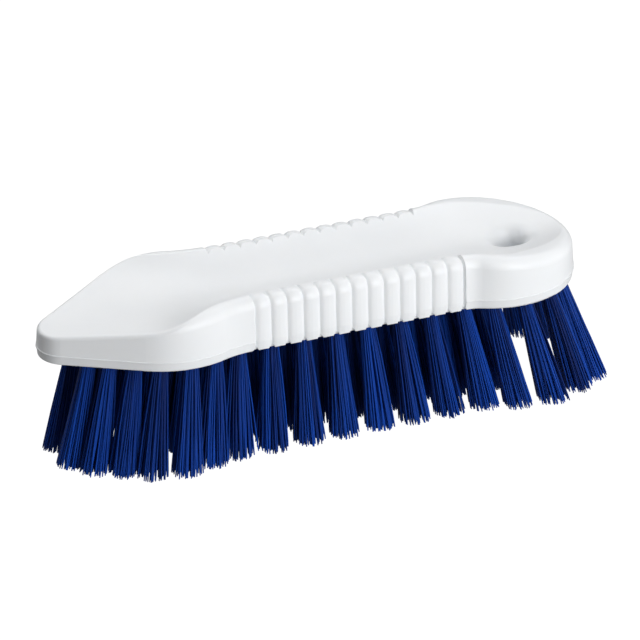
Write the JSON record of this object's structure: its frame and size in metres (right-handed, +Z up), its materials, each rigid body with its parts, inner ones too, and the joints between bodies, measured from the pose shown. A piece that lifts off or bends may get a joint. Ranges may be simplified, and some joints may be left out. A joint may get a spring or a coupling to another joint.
{
  "type": "scrub brush",
  "caption": "Hand scrub brush: white moulded block with a pointed nose, dished back, ribbed side grips and a hanging hole, set with stiff blue filament tufts that fan out and are trimmed flat.",
  "frame": {"origin": "on the plane of the trimmed bristle tips, under the middle of the overall box", "axes": "+X runs from the pointed nose to the round heel with the hanging hole, +Y to the brush's left side, +Z up out of the dished back"},
  "size_m": [0.2068, 0.0668, 0.0584],
  "materials": {
    "block_plastic": "satin moulded polypropylene",
    "blue_filament": "drawn polyester filament with a soft sheen",
    "anchor_steel": "bright drawn flat wire"
  },
  "bodies": {
    "root": {"brush_block": "block_plastic", "edge_tuft_left_01": "blue_filament", "edge_tuft_left_02": "blue_filament", "edge_tuft_left_03": "blue_filament", "edge_tuft_left_04": "blue_filament", "edge_tuft_left_05": "blue_filament", "edge_tuft_left_06": "blue_filament", "edge_tuft_left_07": "blue_filament", "edge_tuft_left_08": "blue_filament", "edge_tuft_left_09": "blue_filament", "edge_tuft_left_10": "blue_filament", "edge_tuft_left_11": "blue_filament", "edge_tuft_left_12": "blue_filament", "edge_tuft_left_13": "blue_filament", "edge_tuft_left_14": "blue_filament", "edge_tuft_left_15": "blue_filament", "edge_tuft_left_16": "blue_filament", "edge_tuft_left_17": "blue_filament", "edge_tuft_left_18": "blue_filament", "edge_tuft_right_01": "blue_filament", "edge_tuft_right_02": "blue_filament", "edge_tuft_right_03": "blue_filament", "edge_tuft_right_04": "blue_filament", "edge_tuft_right_05": "blue_filament", "edge_tuft_right_06": "blue_filament", "edge_tuft_right_07": "blue_filament", "edge_tuft_right_08": "blue_filament", "edge_tuft_right_09": "blue_filament", "edge_tuft_right_10": "blue_filament", "edge_tuft_right_11": "blue_filament", "edge_tuft_right_12": "blue_filament", "edge_tuft_right_13": "blue_filament", "edge_tuft_right_14": "blue_filament", "edge_tuft_right_15": "blue_filament", "edge_tuft_right_16": "blue_filament", "edge_tuft_right_17": "blue_filament", "edge_tuft_right_18": "blue_filament", "inner_tuft_left_01": "blue_filament", "inner_tuft_left_02": "blue_filament", "inner_tuft_left_03": "blue_filament", "inner_tuft_left_04": "blue_filament", "inner_tuft_left_05": "blue_filament", "inner_tuft_left_06": "blue_filament", "inner_tuft_left_07": "blue_filament", "inner_tuft_left_08": "blue_filament", "inner_tuft_left_09": "blue_filament", "inner_tuft_left_10": "blue_filament", "inner_tuft_left_11": "blue_filament", "inner_tuft_right_01": "blue_filament", "inner_tuft_right_02": "blue_filament", "inner_tuft_right_03": "blue_filament", "inner_tuft_right_04": "blue_filament", "inner_tuft_right_05": "blue_filament", "inner_tuft_right_06": "blue_filament", "inner_tuft_right_07": "blue_filament", "inner_tuft_right_08": "blue_filament", "inner_tuft_right_09": "blue_filament", "inner_tuft_right_10": "blue_filament", "inner_tuft_right_11": "blue_filament", "tuft_anchors": "anchor_steel"}
  },
  "joints": []
}
